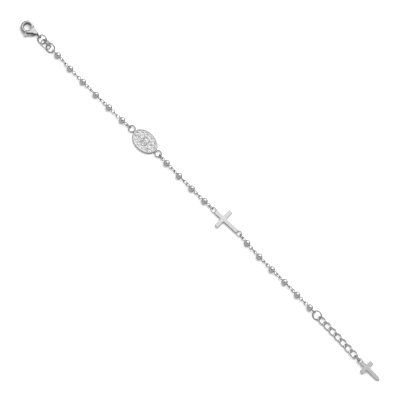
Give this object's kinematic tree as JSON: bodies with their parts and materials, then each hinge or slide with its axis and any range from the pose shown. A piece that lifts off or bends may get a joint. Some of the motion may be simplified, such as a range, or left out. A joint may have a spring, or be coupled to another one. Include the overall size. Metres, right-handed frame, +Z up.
{
  "type": "rosary bracelet",
  "caption": "Open rosary bracelet: lobster clasp, round beads on eye pins with oval links, oval medal, flat cross in the chain and an extension of curb links ending in a small cross.",
  "frame": {"origin": "centre of the footprint, on the surface that the bracelet lies on", "axes": "+X along the bracelet from the clasp to the hanging cross, +Y across it, +Z up"},
  "size_m": [0.212, 0.0094, 0.0032],
  "materials": {
    "silver": "polished bright white metal plating on silver"
  },
  "bodies": {
    "bracelet": {"clasp_body": "silver", "clasp_pin": "silver", "clasp_ring": "silver", "tag": "silver", "tag_ring": "silver", "bead_01": "silver", "bead_02": "silver", "bead_03": "silver", "bead_04": "silver", "bead_05": "silver", "bead_06": "silver", "bead_07": "silver", "bead_08": "silver", "bead_09": "silver", "bead_10": "silver", "bead_11": "silver", "bead_12": "silver", "bead_13": "silver", "bead_14": "silver", "bead_15": "silver", "bead_16": "silver", "chain_1": "silver", "chain_2": "silver", "chain_3": "silver", "medal": "silver", "connector_cross": "silver", "extension_ring": "silver", "ext_link_1": "silver", "ext_link_2": "silver", "ext_link_3": "silver", "ext_link_4": "silver", "ext_link_5": "silver", "ext_link_6": "silver", "ext_link_7": "silver", "drop_ring": "silver", "drop_cross": "silver"},
    "lever": {"clasp_lever": "silver"}
  },
  "joints": [
    {"name": "lever_hinge", "type": "hinge", "parent": "bracelet", "child": "lever", "pos_m": [-0.09997, -0.00138, 0.0011], "axis": [0, 0, -1], "range_deg": [0, 22], "stiffness_Nm_per_rad": 0.002, "springref_deg": -11.46}
  ]
}
